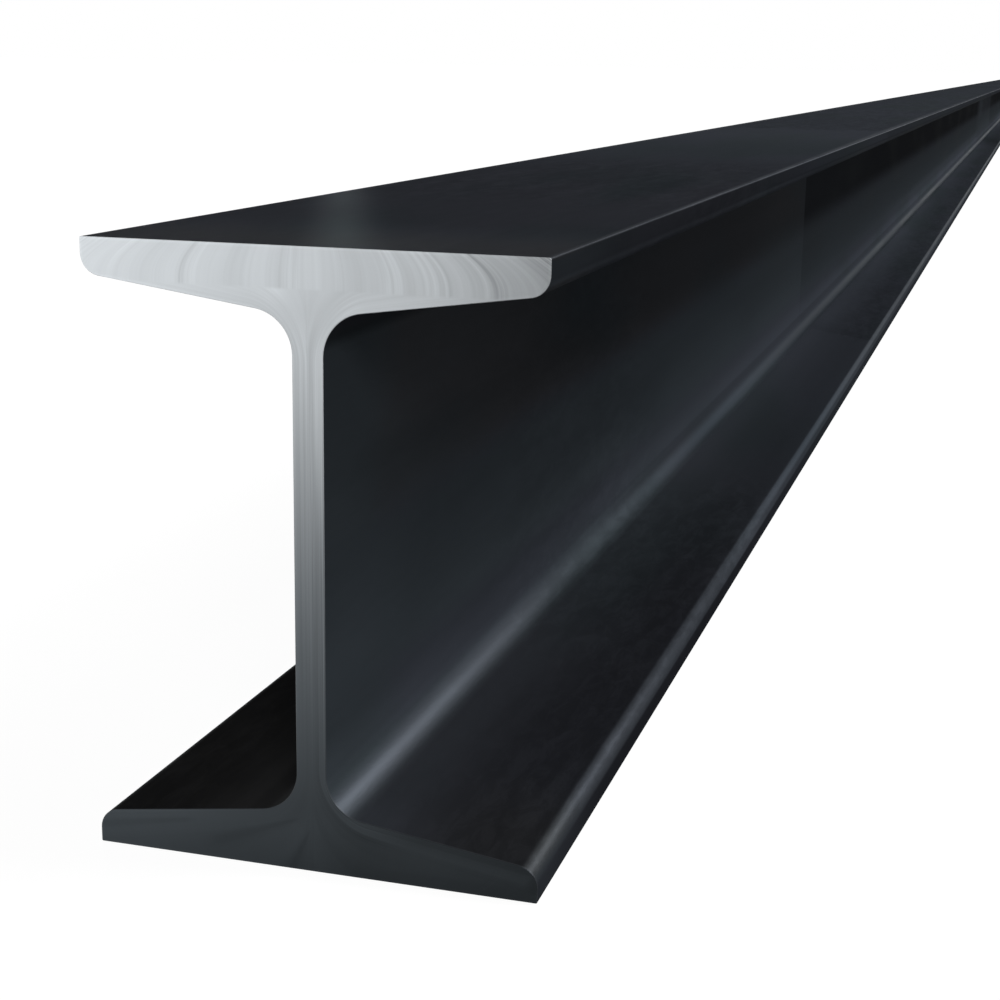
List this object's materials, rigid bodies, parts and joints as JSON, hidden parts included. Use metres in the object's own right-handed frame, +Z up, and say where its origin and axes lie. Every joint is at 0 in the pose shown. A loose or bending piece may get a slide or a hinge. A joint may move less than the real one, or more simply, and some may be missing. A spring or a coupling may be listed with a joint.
{
  "type": "steel i-beam",
  "caption": "Hot-rolled steel I-beam with tapered flanges, a thin web and square sawn ends, as a straight stock length.",
  "frame": {"origin": "middle of the length, on the underside of the bottom flange", "axes": "+X along the beam, +Y across the flanges, +Z up the web to the top flange"},
  "size_m": [6, 0.075, 0.1],
  "materials": {
    "mill_scale": "satin blue-black mill scale as rolled, with bare light grey steel on the two sawn ends"
  },
  "bodies": {
    "root": {"i_beam": "mill_scale"}
  },
  "joints": []
}
